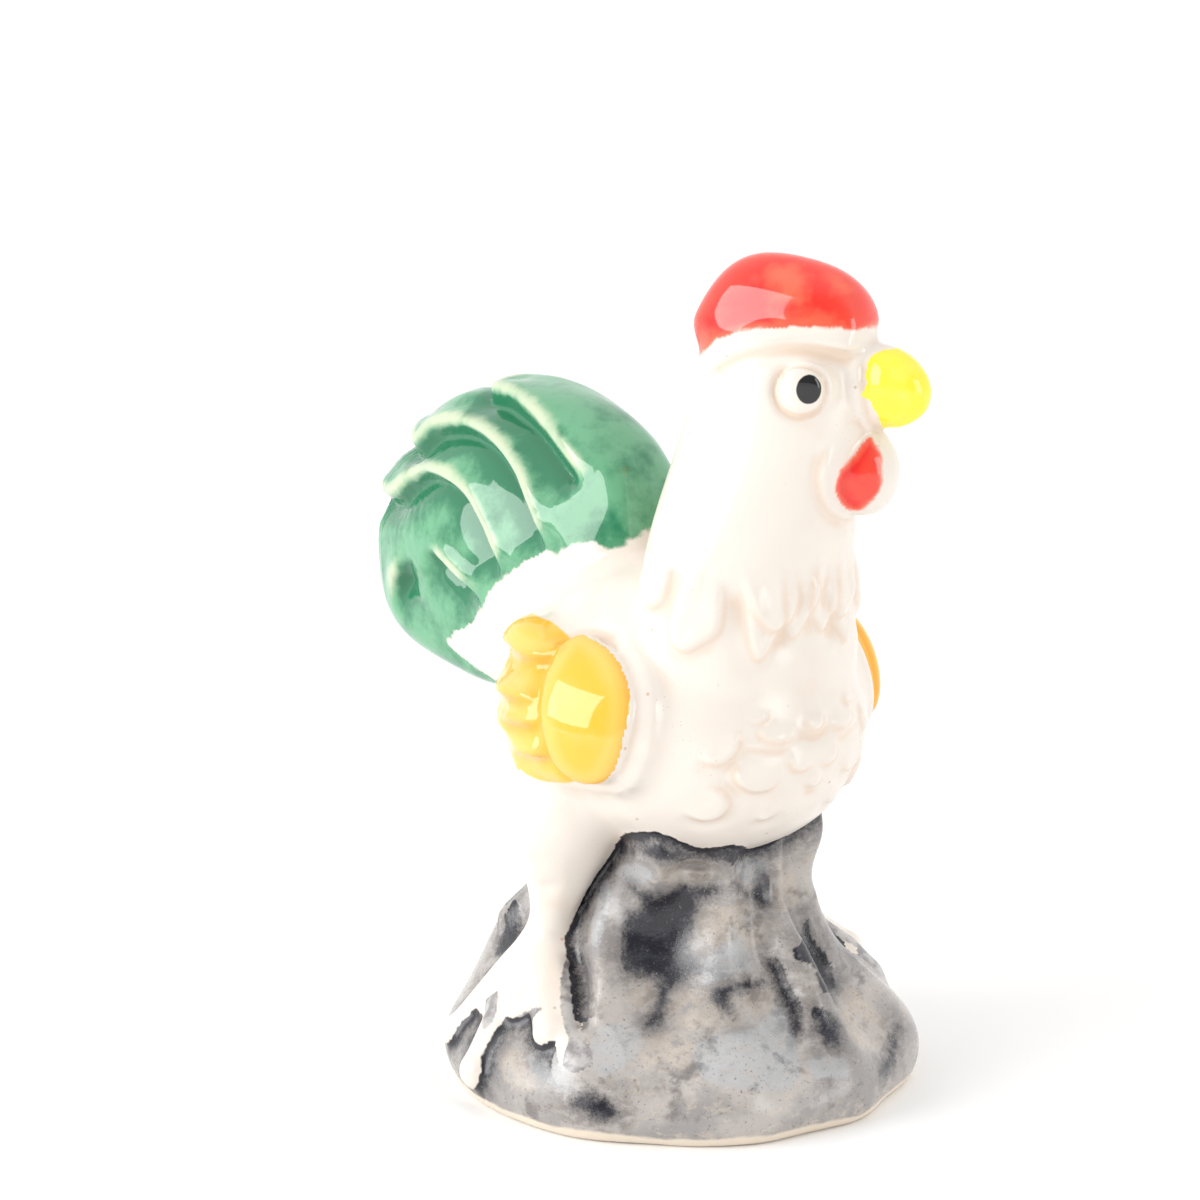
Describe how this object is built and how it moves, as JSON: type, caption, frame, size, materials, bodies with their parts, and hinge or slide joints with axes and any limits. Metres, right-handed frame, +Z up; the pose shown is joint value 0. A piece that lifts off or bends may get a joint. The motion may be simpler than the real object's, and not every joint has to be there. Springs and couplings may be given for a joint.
{
  "type": "ceramic rooster figurine",
  "caption": "Small glazed earthenware rooster standing on a rock, with a red comb, yellow wings and a green tail; stands on a flat foot as an ornament.",
  "frame": {"origin": "middle of the flat foot, on the surface that the figurine stands on", "axes": "+Z up, breast facing -Y, the rooster's right side towards -X"},
  "size_m": [0.047, 0.069, 0.0811],
  "materials": {
    "rock_glaze": "grey wash with dark patches under a clear glaze",
    "body_glaze": "clear gloss glaze over cream clay",
    "red_glaze": "gloss red glaze",
    "beak_glaze": "gloss lemon glaze",
    "eye_glaze": "clear gloss glaze with a black spot",
    "wing_glaze": "gloss amber glaze",
    "tail_glaze": "gloss green glaze, pooled in the grooves"
  },
  "bodies": {
    "root": {"rock_base": "rock_glaze", "trunk": "body_glaze", "head_and_neck": "body_glaze", "comb": "red_glaze", "beak": "beak_glaze", "wattle": "red_glaze", "right_eye": "eye_glaze", "left_eye": "eye_glaze", "right_wing": "wing_glaze", "left_wing": "wing_glaze", "tail": "tail_glaze", "right_leg": "body_glaze", "left_leg": "body_glaze", "right_foot": "body_glaze", "left_foot": "body_glaze"}
  },
  "joints": []
}
